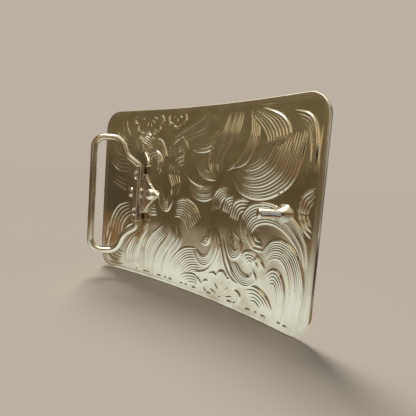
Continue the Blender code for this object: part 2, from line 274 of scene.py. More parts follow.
def tube_faces(rings, sides):
    """Faces of a tube made of rings, closed at both ends."""
    faces = grid_faces(rings, sides, wrap_columns=True)
    faces.append(list(range(sides))[::-1])
    faces.append([(rings - 1) * sides + step for step in range(sides)])
    return faces


def add_piece(name, points, faces, material, body, nodes, attribute=None):
    """A smooth-shaded mesh that rides on a body and stands for CAD nodes."""
    mesh = bpy.data.meshes.new(name)
    mesh.from_pydata(points.reshape(-1, 3).tolist(), [], faces)
    mesh.validate()
    mesh.shade_smooth()
    mesh.set_sharp_from_angle(angle=SHARP_TURN)
    mesh.materials.append(material)
    if attribute is not None:
        layer = mesh.attributes.new("relief", "FLOAT", "POINT")
        layer.data.foreach_set("value", attribute.astype(np.float32).ravel())
    piece = bpy.data.objects.new(name, mesh)
    bpy.context.scene.collection.objects.link(piece)
    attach(piece, body)
    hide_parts(*nodes)
    return piece


# -------- scrollwork


def resampled(points, samples):
    """Evenly spaced points along a line."""
    steps = np.linalg.norm(np.diff(points, axis=0), axis=1)
    lengths = np.concatenate(([0], np.cumsum(steps)))
    wanted = np.linspace(0, lengths[-1], samples)
    return np.stack([np.interp(wanted, lengths, points[:, k]) for k in (0, 1)], axis=1)


def smooth_curve(knots, samples=30):
    """A smooth line through the knots."""
    knots = np.array(knots, float)
    padded = np.vstack((2 * knots[0] - knots[1], knots, 2 * knots[-1] - knots[-2]))
    t = np.linspace(0, 1, 12)[:, None]
    spans = []
    for a, b, c, d in zip(padded, padded[1:], padded[2:], padded[3:]):
        cubic = 2 * b + (c - a) * t + (2 * a - 5 * b + 4 * c - d) * t**2
        spans.append((cubic + (3 * b - a - 3 * c + d) * t**3) / 2)
    return resampled(np.vstack(spans), samples)


def plume_lines(first, last, count):
    """The lines of one plume, each as (curve, width, height): bold outside, then medium and fine."""
    outer = smooth_curve(first)
    inner = smooth_curve(last)
    lines = []
    for index in range(count):
        share = index / (count - 1)
        strength = BOLD_LINE if index == 0 else MEDIUM_LINE if index % 3 == 1 else FINE_LINE
        lines.append(((1 - share) * outer + share * inner, *strength))
    return lines


def packed_count(first, last, count):
    """The number of lines in a plume that is filled at the usual pitch."""
    spread = np.linalg.norm(smooth_curve(first) - smooth_curve(last), axis=1).max()
    return max(count, round(spread / LINE_PITCH))


def plume_body(first, last):
    """The soft swelling under a plume, as one wide line: (curve, width, height)."""
    outer = smooth_curve(first)
    inner = smooth_curve(last)
    spread = np.linalg.norm(outer - inner, axis=1).mean()
    return (0.45 * outer + 0.55 * inner, max(0.55 * spread, 0.5), BODY_HEIGHT)


def flower_lines(middle, edge, radius, lobes, way):
    """A half flower of round lobes with a short vein in each."""
    lines = []
    lobe_turn = math.pi / lobes
    turns = np.linspace(0, 1, 16)
    for lobe in range(lobes):
        around = (lobe + turns) * lobe_turn
        reach = radius * (0.72 + 0.28 * np.sin(turns * math.pi) ** 0.6)
        lobe_along = middle + reach * np.cos(around)
        lobe_up = edge + way * reach * np.sin(around)
        curve = np.stack((lobe_along, lobe_up), axis=1)
        lines.append((resampled(curve, 20), *FLOWER_LINE))
        heading = (lobe + 0.5) * lobe_turn
        spoke = np.array((math.cos(heading), way * math.sin(heading)))
        vein = np.array((middle, edge)) + np.outer(np.linspace(0.25, 0.6, 8) * radius, spoke)
        lines.append((vein, *MEDIUM_LINE))
    return lines


def border_dashes():
    """Short lines along the lower border, where the long strokes run out."""
    lines = []
    for index in range(BORDER_DASHES):
        middle = -27 + 3.75 * index + 1.1 * math.sin(2.3 * index)
        half = 0.35 + 0.9 * math.sin(1.7 * index) ** 2
        up = -29.75 + 0.1 * math.sin(3.1 * index)
        curve = np.array(((middle - half, up - 0.12), (middle, up + 0.05), (middle + half, up)))
        lines.append((resampled(curve, 6), *BOLD_LINE))
    return lines


def scroll_lines():
    lines = border_dashes()
    for first, last, count in PLUMES:
        lines += plume_lines(first, last, packed_count(first, last, count))
    for plume in SPARSE_PLUMES:
        lines += plume_lines(*plume)
    for flower in FLOWERS:
        lines += flower_lines(*flower)
    return lines


def add_ridge(field, along, up, curve, width, height):
    """Raise the field along one line, which swells in its middle and fades at its ends."""
    margin = 3 * width
    low = curve.min(axis=0) - margin
    high = curve.max(axis=0) + margin
    near = (along > low[0]) & (along < high[0]) & (up > low[1]) & (up < high[1])
    spots = np.stack((along[near], up[near]), axis=1)[:, None, :]
    start = curve[None, :-1]
    step = curve[None, 1:] - start
    share = ((spots - start) * step).sum(axis=2) / (step**2).sum(axis=2)
    share = np.clip(share, 0, 1)
    gap = ((spots - start - share[..., None] * step) ** 2).sum(axis=2)
    nearest = gap.argmin(axis=1)
    row = np.arange(len(nearest))
    travelled = (nearest + share[row, nearest]) / (len(curve) - 1)
    swell = np.sin(np.pi * np.clip(travelled, 0.01, 0.99)) ** 0.55
    local_width = width * (0.55 + 0.45 * swell)
    ridge = height * swell * np.exp(-gap[row, nearest] / local_width**2)
    field[near] = np.maximum(field[near], ridge)


def bracket_clearance(along, up):
    """0 under the bracket and 1 away from it, so that the struck lines don't meet it."""
    across = np.abs(along - HINGE_PLACE[0])
    rise = np.abs(up - HINGE_PLACE[1])
    barrel = np.maximum(across - 2.2, rise - BARREL_LENGTH / 2)
    wing = 0.75 * (across - WING_REACH) + 0.65 * rise
    away = np.minimum(barrel, np.maximum(wing, across - WING_REACH))
    return np.clip(away / 0.8, 0, 1)


def relief(along, up):
    """Height, in millimetres, of the struck pattern over the panel."""
    field = np.zeros_like(along)
    for curve, width, height in scroll_lines():
        add_ridge(field, along, up, curve, width, height)
    body = np.zeros_like(along)
    for first, last, _ in PLUMES:
        add_ridge(body, along, up, *plume_body(first, last))
    for middle, rise, reach, height in DOMES:
        body += height * np.exp(-((along - middle) ** 2 + (up - rise) ** 2) / reach**2)
    field = field + body
    half_x = PLATE_LENGTH / 2 - RIM_WIDTH
    half_y = PLATE_HEIGHT / 2 - RIM_WIDTH
    inside = np.minimum(half_x - np.abs(along), half_y - np.abs(up))
    fade = np.clip(inside / BORDER_FADE, 0, 1)
    return field * fade * (0.15 + 0.85 * bracket_clearance(along, up))


# -------- plate


def panel_grid(cell, start, end):
    """(along, up) of a grid over the panel, from one share of its half length to another."""
    half_x = PLATE_LENGTH / 2 - RIM_WIDTH
    half_y = PLATE_HEIGHT / 2 - RIM_WIDTH
    corner = CORNER_RADIUS - RIM_WIDTH
    straight = half_y - corner
    steps = round(0.5 * math.pi * corner / cell)
    turn = np.linspace(0, 0.5 * math.pi, steps + 1)
    middle = np.linspace(-straight, straight, round(2 * straight / cell) + 1)
    below = -straight - corner * np.sin(turn[:0:-1])
    above = straight + corner * np.sin(turn[1:])
    up = np.concatenate((below, middle, above))
    beyond = np.clip((np.abs(up) - straight) / corner, 0, 1)
    half_width = half_x - corner + corner * np.sqrt(1 - beyond**2)
    columns = round((end - start) * half_x / cell) + 1
    along = half_width[:, None] * np.linspace(start, end, columns)[None, :]
    return along, np.broadcast_to(up[:, None], along.shape).copy()


def panel_skin(name, cell, face_height, middle_height, material, start=-1, end=1):
    """One face of the panel as a closed sheet, from its struck surface to its middle."""
    along, up = panel_grid(cell, start, end)
    pattern = relief(along, up)
    rows, columns = along.shape
    outer = on_plate(along, up, face_height + pattern).reshape(-1, 3)
    number = np.arange(rows * columns).reshape(rows, columns)
    border = np.concatenate((number[0], number[1:, -1], number[-1, -2::-1], number[-2:0:-1, 0]))
    flat_along = along.ravel()[border]
    flat_up = up.ravel()[border]
    inner = on_plate(flat_along, flat_up, np.full(len(border), middle_height))
    faces = grid_faces(rows, columns)
    first = rows * columns
    count = len(border)
    for index in range(count):
        after = (index + 1) % count
        faces.append((border[after], border[index], first + index, first + after))
    top_start = columns - 1 + rows - 1
    for index in range(columns - 1):
        low = first + index
        high = first + top_start + columns - 1 - index
        faces.append((low, high, high - 1, low + 1))
    right_side = [first + columns - 1 + step for step in range(rows)]
    left_side = [first + top_start + columns - 1 + step for step in range(rows - 1)] + [first]
    faces.append(right_side[::-1])
    faces.append(left_side[::-1])
    if face_height < middle_height:
        faces = [face[::-1] for face in faces]
    points = np.vstack((outer, inner))
    values = np.concatenate((pattern.ravel() / BOLD_LINE[1], np.zeros(count)))
    return add_piece(name, points, faces, material, "plate_body", ["face_plate"], values)


def rim_outline(steps_per_corner=40, straight_cell=0.7):
    """(corner centre, heading) pairs round the plate, so that an inset outline stays even."""
    half_x = PLATE_LENGTH / 2 - CORNER_RADIUS
    half_y = PLATE_HEIGHT / 2 - CORNER_RADIUS
    stations = []
    corners = ((half_x, half_y), (-half_x, half_y), (-half_x, -half_y), (half_x, -half_y))
    for quarter, center in enumerate(corners):
        for step in range(steps_per_corner + 1):
            heading = (quarter + step / steps_per_corner) * math.pi / 2
            stations.append((center, heading))
        after = corners[(quarter + 1) % 4]
        length = math.dist(center, after)
        pieces = round(length / straight_cell)
        for step in range(1, pieces):
            share = step / pieces
            middle = tuple((1 - share) * a + share * b for a, b in zip(center, after))
            stations.append((middle, (quarter + 1) * math.pi / 2))
    return stations


def rim_profile():
    """(inset, height) pairs round the rim's section, with rounded outer edges."""
    back = RIM_STEP
    front = RIM_STEP - PLATE_THICKNESS
    points = [(RIM_WIDTH + 0.30, -0.05)]
    for step in range(9):
        share = step / 8
        points.append((RIM_WIDTH + 0.1 - 1.1 * share, back * share * share * (3 - 2 * share)))
    points.append((0.45, back))
    for step in range(9):
        turn = 0.5 * math.pi * step / 8
        points.append((EDGE_ROUND * (1 - math.sin(turn)), back - EDGE_ROUND * (1 - math.cos(turn))))
    for step in range(9):
        turn = 0.5 * math.pi * step / 8
        points.append((EDGE_ROUND * (1 - math.cos(turn)), front + EDGE_ROUND * (1 - math.sin(turn))))
    points += [(RIM_WIDTH / 2, front - 0.02), (RIM_WIDTH - 0.10, front), (RIM_WIDTH - 0.02, front - 0.05)]
    under = -PLATE_THICKNESS
    points += [(RIM_WIDTH, under + 0.04), (RIM_WIDTH + 0.05, under), (RIM_WIDTH + 0.25, under + 0.02)]
    return points


def make_rim(material):
    """The flat frame round the panel."""
    stations = rim_outline()
    profile = np.array(rim_profile())
    center = np.array([place for place, _ in stations])
    heading = np.array([turn for _, turn in stations])
    reach = CORNER_RADIUS - profile[:, 0]
    along = center[:, 0, None] + reach[None, :] * np.cos(heading)[:, None]
    up = center[:, 1, None] + reach[None, :] * np.sin(heading)[:, None]
    height = np.broadcast_to(profile[:, 1], along.shape)
    points = on_plate(along, up, height)
    faces = grid_faces(*along.shape, wrap_rows=True, wrap_columns=True)
    return add_piece("plate_rim", points, faces, material, "plate_body", ["face_plate"])


# -------- fittings


def wing_half_width(across):
    """Half the strap's width at a distance from the barrel's middle."""
    start = np.array((BARREL_RADIUS, WING_ROOT_HALF))
    sweep = np.array(WING_SWEEP)
    waist = np.array(WING_WAIST)
    t = np.linspace(0, 1, 20)[:, None]
    curve = (1 - t) ** 2 * start + 2 * t * (1 - t) * sweep + t * t * waist
    share = np.linspace(0, 1, 16)[1:]
    xs = np.concatenate(((0,), curve[:, 0], WING_WAIST[0] + share * (WING_REACH - WING_WAIST[0])))
    tip = 0.08
    taper = tip + (WING_WAIST[1] - tip) * (1 - share) ** WING_HOLLOW
    zs = np.concatenate(((WING_ROOT_HALF,), curve[:, 1], taper))
    return np.interp(np.abs(across), xs, zs)


def rounded_section(half_width, bottom, top, radius, steps=6):
    """(side, height) points round a flat strap's section, with rounded edges."""
    points = []
    inner = max(half_width - radius, 0.01)
    reach = half_width - inner
    high = top - radius
    low = bottom + radius
    for quarter, (side, level) in enumerate(((1, high), (-1, high), (-1, low), (1, low))):
        for step in range(steps + 1):
            turn = (quarter + step / steps) * math.pi / 2
            points.append((side * inner + reach * math.cos(turn), level + radius * math.sin(turn)))
    return points


def strap_points():
    """The strap as rings across the plate, with a small fillet where it meets the barrel."""
    rings = []
    for across in np.linspace(-WING_REACH, WING_REACH, 241):
        away = abs(across)
        lift = away**2 / (2 * BEND_RADIUS)
        tip = min((WING_REACH - away) / STRAP_EDGE, 1)
        top = STRAP_TOP + 0.5 * lift - STRAP_EDGE * (1 - math.sqrt(1 - (1 - tip) ** 2))
        top += 0.45 * math.exp(-(max(away - BARREL_RADIUS + 0.25, 0) / 0.34) ** 2)
        section = rounded_section(float(wing_half_width(across)), lift + 0.03, top, STRAP_EDGE)
        rings.append([(across, -height, side) for side, height in section])
    return np.array(rings)


def barrel_points():
    """The rolled barrel: its outside with seam and dimples, rounded lips and bore."""
    half = BARREL_LENGTH / 2
    lip = 0.16
    outside = [(BARREL_RADIUS, z) for z in np.linspace(-half + lip, half - lip, 209)]
    profile = []
    for step in range(5):
        turn = 0.5 * math.pi * step / 5
        profile.append((BARREL_RADIUS - lip * (1 - math.sin(turn)), -half + lip * (1 - math.cos(turn))))
    profile += outside
    for radius, z in profile[4::-1]:
        profile.append((radius, -z))
    bore = BORE_RADIUS - 0.02
    profile += [(BORE_RADIUS, half), (bore, half - 3), (bore, 3 - half), (BORE_RADIUS, -half)]
    profile = np.array(profile)
    turn = np.linspace(0, 2 * math.pi, 240, endpoint=False)
    radius = np.broadcast_to(profile[:, 0, None], (len(profile), len(turn))).copy()
    z = np.broadcast_to(profile[:, 1, None], radius.shape)
    outer = radius > BORE_RADIUS + 0.3
    outward = (turn + math.pi / 2 + math.pi) % (2 * math.pi) - math.pi
    seam = BARREL_RADIUS * (outward - SEAM_TURN)
    groove = 0.24 * np.exp(-((seam / 0.11) ** 2))
    swelling = 0.03 * np.exp(-(((np.abs(seam) - 0.3) / 0.2) ** 2))
    radius -= outer * (groove - swelling)[None, :]
    arc = BARREL_RADIUS * (outward - CRIMP_TURN)[None, :]
    for side in (-1, 1):
        away = np.sqrt((arc / 0.85) ** 2 + ((z - side * CRIMP_SPREAD) / 1.3) ** 2)
        dent = 0.42 * np.clip(1 - away**2, 0, 1) ** 0.6
        lip_ring = 0.07 * np.exp(-(((away - 1.12) / 0.16) ** 2))
        radius += outer * (lip_ring - dent)
    x = radius * np.cos(turn)[None, :]
    y = radius * np.sin(turn)[None, :] - AXIS_HEIGHT
    return np.stack((x, y, z), axis=-1)


def make_bracket(material):
    """Strap and barrel, joined in one piece."""
    place = seat(*HINGE_PLACE)
    strap = strap_points()
    barrel = barrel_points()
    strap_faces = tube_faces(*strap.shape[:2])
    barrel_faces = grid_faces(*barrel.shape[:2], wrap_rows=True, wrap_columns=True)
    offset = strap.shape[0] * strap.shape[1]
    barrel_faces = [[corner + offset for corner in face] for face in barrel_faces]
    points = np.vstack((strap.reshape(-1, 3), barrel.reshape(-1, 3)))
    points = transformed(points, place)
    return add_piece("bracket", points, strap_faces + barrel_faces, material, "plate_body",
                     ["hinge_bracket"])


def turned_points(profile, sides):
    """Rings about the -Y axis for (radius, height) pairs, in millimetres."""
    profile = np.array(profile)
    turn = np.linspace(0, 2 * math.pi, sides, endpoint=False)
    x = profile[:, 0, None] * np.cos(turn)[None, :]
    z = profile[:, 0, None] * np.sin(turn)[None, :]
    y = np.broadcast_to(-profile[:, 1, None], x.shape)
    return np.stack((x, y, z), axis=-1)


def make_rivet(name, side, material):
    """A slightly uneven dome that sits on the wing."""
    base = STRAP_TOP + 0.02
    profile = [(0.9, -0.1), (RIVET_RADIUS - 0.25, base - 0.15)]
    profile += [(RIVET_RADIUS - 0.02, base), (RIVET_RADIUS, base + 0.14)]
    for step in range(1, 22):
        turn = 0.5 * math.pi * step / 21
        rise = base + 0.14 + (RIVET_DOME - 0.1) * math.sin(turn) ** 0.92
        profile.append((max(RIVET_RADIUS * math.cos(turn) ** 0.85, 0.02), rise))
    points = turned_points(profile, TURNED_SIDES)
    wobble = 1 + 0.012 * np.sin(3 * np.arctan2(points[..., 2], points[..., 0]) + side)
    points[..., 0] *= wobble
    points[..., 2] *= wobble
    points[..., 0] += side * RIVET_SPREAD
    faces = tube_faces(*points.shape[:2])
    world = transformed(points.reshape(-1, 3), seat(*HINGE_PLACE))
    return add_piece(name + "_head", world, faces, material, "plate_body", [name])


def rounded_path(corners, radii, steps):
    """A polyline whose inner corners are replaced by arcs of the given radii."""
    path = [Vector(corners[0])]
    for before, corner, after, radius in zip(corners, corners[1:], corners[2:], radii):
        corner = Vector(corner)
        to_before = (Vector(before) - corner).normalized()
        to_after = (Vector(after) - corner).normalized()
        half_angle = to_before.angle(to_after) / 2
        tangent = radius / math.tan(half_angle)
        center = corner + (to_before + to_after).normalized() * radius / math.sin(half_angle)
        first = corner + to_before * tangent - center
        last = corner + to_after * tangent - center
        sweep = first.angle(last)
        for step in range(steps + 1):
            share = step / steps
            spoke = math.sin((1 - share) * sweep) * first + math.sin(share * sweep) * last
            path.append(center + spoke / math.sin(sweep))
    path.append(Vector(corners[-1]))
    return path


def bail_path():
    """The wire's centre line, evenly sampled and slightly softened, as (reach, up)."""
    shoulder = (LEG_SHOULDER, BAIL_HALF_HEIGHT)
    corner = (BAIL_REACH, BAIL_HALF_HEIGHT)
    corners = [(0, LEG_END), LEG_BEND, LEG_KNEE, shoulder, corner, (BAIL_REACH, 0)]
    upper = rounded_path(corners, BEND_RADII, 24)
    whole = upper + [Vector((point.x, -point.y)) for point in reversed(upper[:-1])]
    even = resampled(np.array([tuple(point) for point in whole]), WIRE_RINGS)
    for _ in range(6):
        even[1:-1] = (even[:-2] + 2 * even[1:-1] + even[2:]) / 4
    return even


def make_bail(material):
    """A loop of round wire with rounded ends."""
    path = bail_path()
    tangent = np.gradient(path, axis=0)
    tangent /= np.linalg.norm(tangent, axis=1)[:, None]
    normal = np.stack((tangent[:, 1], -tangent[:, 0]), axis=1)
    turn = np.linspace(0, 2 * math.pi, WIRE_SIDES, endpoint=False)
    end_round = np.ones(len(path))
    end_round[[0, -1]] = 0.72
    end_round[[1, -2]] = 0.93
    across = WIRE_RADIUS * end_round[:, None] * np.cos(turn)[None, :]
    depth = WIRE_RADIUS * end_round[:, None] * np.sin(turn)[None, :]
    x = path[:, 0, None] + normal[:, 0, None] * across
    z = path[:, 1, None] + normal[:, 1, None] * across
    points = np.stack((x, depth, z), axis=-1)
    faces = tube_faces(*points.shape[:2])
    pivot = Matrix.Translation(Vector((0, -AXIS_HEIGHT, -BAIL_DROP)) * MM)
    frame_of_bail = seat(*HINGE_PLACE) @ pivot @ Matrix.Rotation(math.pi + BAIL_LIFT, 4, "Z")
    world = transformed(points.reshape(-1, 3), frame_of_bail)
    return add_piece("bail_wire", world, faces, material, "bail_body", ["bail"])


def leaning(points):
    """Tip points given about the plate's normal over to the prong's lean."""
    turned = points.copy()
    turned[..., 0] = points[..., 0] * math.cos(PRONG_LEAN) + points[..., 1] * math.sin(PRONG_LEAN)
    turned[..., 1] = -points[..., 0] * math.sin(PRONG_LEAN) + points[..., 1] * math.cos(PRONG_LEAN)
    return turned


def make_prong(material):
    """A round peg with a worn, rounded end."""
    profile = [(PRONG_RADIUS, -0.4)]
    for share in np.linspace(0, 1, 40):
        waist = 0.05 * math.sin(math.pi * share)
        profile.append((PRONG_RADIUS - waist, 0.2 + share * (PRONG_LENGTH - 0.85)))
    for step in range(1, 15):
        turn = 0.5 * math.pi * step / 14
        radius = PRONG_RADIUS - TIP_ROUND * (1 - math.cos(turn))
        profile.append((radius, PRONG_LENGTH - TIP_ROUND * (1 - math.sin(turn))))
    profile += [(0.5, PRONG_LENGTH + 0.02), (0.03, PRONG_LENGTH + 0.03)]
    points = leaning(turned_points(profile, TURNED_SIDES))
    faces = tube_faces(*points.shape[:2])
    world = transformed(points.reshape(-1, 3), seat(PRONG_ALONG, 0))
    return add_piece("prong_peg", world, faces, material, "plate_body", ["prong"])


def make_solder(material):
    """A lumpy flare of solder from the plate up on to the prong."""
    turn = np.linspace(0, 2 * math.pi, SOLDER_SIDES, endpoint=False)
    share = np.linspace(0, 1, SOLDER_RINGS)[:, None]
    lump = 0.16 * np.sin(2 * turn + 0.6) + 0.10 * np.sin(3 * turn + 2.0) + 0.05 * np.sin(7 * turn)
    height = -0.05 + (SOLDER_HEIGHT + 0.1) * share + 0.12 * share * np.sin(2 * turn + 1.3)[None, :]
    flare = (SOLDER_RADIUS - PRONG_RADIUS) * (1 - share) ** 1.8
    radius = PRONG_RADIUS - 0.05 + 0.16 * (1 - share**4) + flare * (1 + lump[None, :])
    ripple = 0.05 * np.sin(5 * turn[None, :] + 9 * share) * (1 - share)
    radius = radius + ripple
    lean = height * math.tan(PRONG_LEAN)
    x = radius / math.cos(PRONG_LEAN) ** 0.6 * np.cos(turn)[None, :] - lean
    z = radius * np.sin(turn)[None, :]
    points = np.stack((x, -height, z), axis=-1)
    faces = tube_faces(SOLDER_RINGS, SOLDER_SIDES)
    world = transformed(points.reshape(-1, 3), seat(PRONG_ALONG, 0))
    return add_piece("solder_flare", world, faces, material, "plate_body", ["prong_solder"])


# -------- materials


CLOUD_SCALE = 130.0
SPECK_SCALE = 2600.0
SCRATCH_SCALE = 9.0
SCRATCH_STRETCH = (30, 30, 900)
SPOT_STRENGTH = 0.2

# Metals: (bright colour, tarnish colour, roughness, grain of the scratches).
METALS = {
    "plate_metal": ((0.86, 0.84, 0.74), (0.60, 0.52, 0.38), 0.11, 0.45),
    "rim_metal": ((0.80, 0.77, 0.67), (0.60, 0.53, 0.41), 0.24, 1.0),
    "bracket_metal": ((0.84, 0.80, 0.70), (0.60, 0.51, 0.38), 0.13, 1.0),
    "rivet_metal": ((0.90, 0.89, 0.82), (0.66, 0.62, 0.50), 0.10, 1.0),
    "wire_metal": ((0.88, 0.85, 0.76), (0.64, 0.55, 0.42), 0.11, 1.0),
    "prong_metal": ((0.90, 0.89, 0.84), (0.64, 0.60, 0.50), 0.10, 1.0),
    "solder_metal": ((0.76, 0.74, 0.65), (0.46, 0.36, 0.25), 0.15, 1.6),
}


class Nodes:
    """A small helper that adds and links shader nodes."""

    def __init__(self, material):
        material.use_nodes = True
        self.tree = material.node_tree
        self.shader = self.tree.nodes["Principled BSDF"]

    def add(self, kind, settings=None, **inputs):
        node = self.tree.nodes.new(kind)
        for key, value in (settings or {}).items():
            setattr(node, key, value)
        for key, value in inputs.items():
            self.put(node.inputs[key.replace("_", " ")], value)
        return node

    def put(self, socket, value):
        if isinstance(value, bpy.types.NodeSocket):
            self.tree.links.new(value, socket)
        else:
            socket.default_value = value


def noise(nodes, place, scale, detail=3.0, rough=0.55):
    inputs = {"Vector": place, "Scale": scale, "Detail": detail, "Roughness": rough}
    return nodes.add("ShaderNodeTexNoise", None, **inputs).outputs["Fac"]


def span(nodes, value, low, high, to_low=0.0, to_high=1.0):
    """Map a value from one range to another, clamped."""
    node = nodes.add("ShaderNodeMapRange", None, Value=value)
    for key, amount in (("From Min", low), ("From Max", high), ("To Min", to_low), ("To Max", to_high)):
        node.inputs[key].default_value = amount
    return node.outputs["Result"]


def mixed(nodes, share, first, second):
    """A colour between two, by share."""
    node = nodes.add("ShaderNodeMix", {"data_type": "RGBA"})
    nodes.put(node.inputs["Factor"], share)
    nodes.put(node.inputs[6], first)
    nodes.put(node.inputs[7], second)
    return node.outputs[2]


def nickel(name, bright, tarnish, roughness, grain, struck):
    """Polished nickel silver with cloudy tarnish, fine scratches and handling marks."""
    material = bpy.data.materials.new(name)
    nodes = Nodes(material)
    place = nodes.add("ShaderNodeTexCoord").outputs["Object"]
    cloud = noise(nodes, place, CLOUD_SCALE, 4.0)
    speck = noise(nodes, place, SPECK_SCALE, 2.0)
    stretched = nodes.add("ShaderNodeMapping", None, Vector=place)
    stretched.inputs["Scale"].default_value = SCRATCH_STRETCH
    scratch = noise(nodes, stretched.outputs["Vector"], SCRATCH_SCALE, 5.0, 0.7)
    stain = span(nodes, cloud, 0.42, 0.70)
    if struck:
        layer = nodes.add("ShaderNodeAttribute", {"attribute_name": "relief"}).outputs["Fac"]
        low = span(nodes, layer, 0.04, 0.5, 1.0, 0.15)
        stain = nodes.add("ShaderNodeMath", {"operation": "MULTIPLY"})
        nodes.put(stain.inputs[0], span(nodes, cloud, 0.25, 0.75))
        nodes.put(stain.inputs[1], low)
        stain = stain.outputs[0]
    color = mixed(nodes, stain, (*bright, 1), (*tarnish, 1))
    spots = span(nodes, speck, 0.66, 0.78, 0.0, SPOT_STRENGTH)
    color = mixed(nodes, spots, color, (*(0.6 * part for part in tarnish), 1))
    nodes.put(nodes.shader.inputs["Base Color"], color)
    nodes.shader.inputs["Metallic"].default_value = 1.0
    rough = nodes.add("ShaderNodeMath", {"operation": "ADD"})
    nodes.put(rough.inputs[0], span(nodes, cloud, 0.3, 0.75, roughness * 0.75, roughness * 1.3))
    nodes.put(rough.inputs[1], span(nodes, scratch, 0.55, 0.75, 0.0, 0.08))
    nodes.put(nodes.shader.inputs["Roughness"], rough.outputs[0])
    bump = nodes.add("ShaderNodeBump", None, Strength=0.5 * grain, Distance=0.00002, Height=scratch)
    fine = nodes.add("ShaderNodeBump", None, Strength=0.5 * grain, Distance=0.000012, Height=speck)
    nodes.put(fine.inputs["Normal"], bump.outputs["Normal"])
    nodes.put(nodes.shader.inputs["Normal"], fine.outputs["Normal"])
    return material


def matte(name, color):
    """A plain matte stage surface."""
    material = bpy.data.materials.new(name)
    nodes = Nodes(material)
    nodes.shader.inputs["Base Color"].default_value = (*color, 1)
    nodes.shader.inputs["Roughness"].default_value = 0.9
    nodes.shader.inputs["Specular IOR Level"].default_value = 0.1
    return material


# -------- stage


# Colours are linear RGB. Lengths on the stage are in metres.
BACKDROP = (0.50, 0.435, 0.365)
FLOOR_COLOR = (0.62, 0.55, 0.47)
FLOOR_RADIUS = 3.0
EVEN_SKY = (0.50, 0.49, 0.47)
EVEN_STRENGTH = 0.45
CARD_HEIGHT = 0.10

# Softboxes: (name, place, aim, size, power, colour).
SOFTBOXES = (
    ("key", (-0.45, 0.35, 0.75), (0, 0, 0.02), (0.50, 0.50), 1.2, (1.0, 0.97, 0.92)),
    ("overhead", (-0.05, -0.25, 0.70), (0, 0, 0.03), (0.50, 0.34), 1.7, (1.0, 0.99, 0.96)),
)
SUN_WAY = (0.55, -0.25, -0.75)
SUN_STRENGTH = 2.3
SUN_SPREAD = math.radians(25)

CAMERA_LENS = 30.62
CAMERA_PLACE = (0.08268, -0.08806, 0.04060)
CAMERA_RIGHT = (0.74738, 0.66019, 0.07461)
CAMERA_UP = (-0.11592, 0.01901, 0.99308)

# How far the ring of cards stands, closer by the bail and by the prong: azimuths, then distances.
CARD_STANDS = ((-180, -90, -64, -50, 68, 72, 104, 108, 180),
               (0.085, 0.058, 0.058, 0.086, 0.090, 0.072, 0.072, 0.090, 0.090))
LOW_SKY = (0.16, 0.125, 0.075)
SKY = (
    (0.0, LOW_SKY),
    (0.30, (0.10, 0.085, 0.055)),
    (0.50, (0.48, 0.39, 0.24)),
    (0.75, (0.78, 0.72, 0.58)),
    (1.0, (0.90, 0.88, 0.80)),
)


def stage_mesh(name, points, faces, material):
    mesh = bpy.data.meshes.new(name)
    mesh.from_pydata(points, [], faces)
    mesh.materials.append(material)
    piece = bpy.data.objects.new(name, mesh)
    bpy.context.scene.collection.objects.link(piece)
    return piece


def make_floor():
    """A wide round floor."""
    sides = 96
    below = -0.00002
    turns = [2 * math.pi * k / sides for k in range(sides)]
    ring = [(FLOOR_RADIUS * math.cos(turn), FLOOR_RADIUS * math.sin(turn), below) for turn in turns]
    stage_mesh("floor", ring, [list(range(sides))], matte("pale_floor", FLOOR_COLOR))


def reflected_only(piece):
    piece.visible_camera = False
    piece.visible_diffuse = False
    piece.visible_shadow = False
    piece.visible_transmission = False
    piece.visible_volume_scatter = False


def glow_material(name):
    """An empty emission material, as (material, node tree, emission node)."""
    material = bpy.data.materials.new(name)
    material.use_nodes = True
    tree = material.node_tree
    tree.nodes.clear()
    output = tree.nodes.new("ShaderNodeOutputMaterial")
    glow = tree.nodes.new("ShaderNodeEmission")
    tree.links.new(glow.outputs[0], output.inputs["Surface"])
    return material, tree, glow


def graded(tree, value, stops):
    """The colour at a value, graded through (position, colour) stops."""
    ramp = tree.nodes.new("ShaderNodeValToRGB")
    tree.links.new(value, ramp.inputs[0])
    elements = ramp.color_ramp.elements
    elements[0].position, elements[0].color = stops[0][0], (*stops[0][1], 1)
    elements[1].position, elements[1].color = stops[-1][0], (*stops[-1][1], 1)
    for position, color in stops[1:-1]:
        elements.new(position).color = (*color, 1)
    return ramp.outputs["Color"]


def around(azimuth, radius, level):
    """A point at an azimuth from the wearer's side, positive towards the prong."""
    turn = math.radians(azimuth)
    return (radius * math.sin(turn), -radius * math.cos(turn), level)


def make_card(name, start, end, height, stops):
    """A curved card that only reflections see. It grades upwards through (height share, colour) stops."""
    material, tree, glow = glow_material(name)
    place = tree.nodes.new("ShaderNodeTexCoord")
    parts = tree.nodes.new("ShaderNodeSeparateXYZ")
    tree.links.new(place.outputs["Generated"], parts.inputs[0])
    shade = graded(tree, parts.outputs["Z"], stops)
    tree.links.new(shade, glow.inputs["Color"])
    azimuths = np.linspace(start, end, 25)
    levels = (0.0003, height)
    points = [around(turn, card_radius(turn), level) for level in levels for turn in azimuths]
    reflected_only(stage_mesh(name, points, grid_faces(2, len(azimuths)), material))


def card_radius(azimuth):
    """How far the cards stand from the buckle: closer by the bail and by the prong."""
    return float(np.interp(azimuth, CARD_STANDS[0], CARD_STANDS[1]))


def make_reflector(name, near, far):
    """A sheet on the floor inside the ring of cards, bright in its middle, which only reflections see."""
    material, tree, glow = glow_material(name)
    place = tree.nodes.new("ShaderNodeTexCoord")
    reach = tree.nodes.new("ShaderNodeVectorMath")
    reach.operation = "LENGTH"
    tree.links.new(place.outputs["Object"], reach.inputs[0])
    shade = graded(tree, reach.outputs["Value"], ((0.030, near), (0.086, far)))
    tree.links.new(shade, glow.inputs["Color"])
    points = [around(azimuth, card_radius(azimuth), 0.0003) for azimuth in np.linspace(-180, 176, 90)]
    reflected_only(stage_mesh(name, points, [list(range(len(points)))], material))


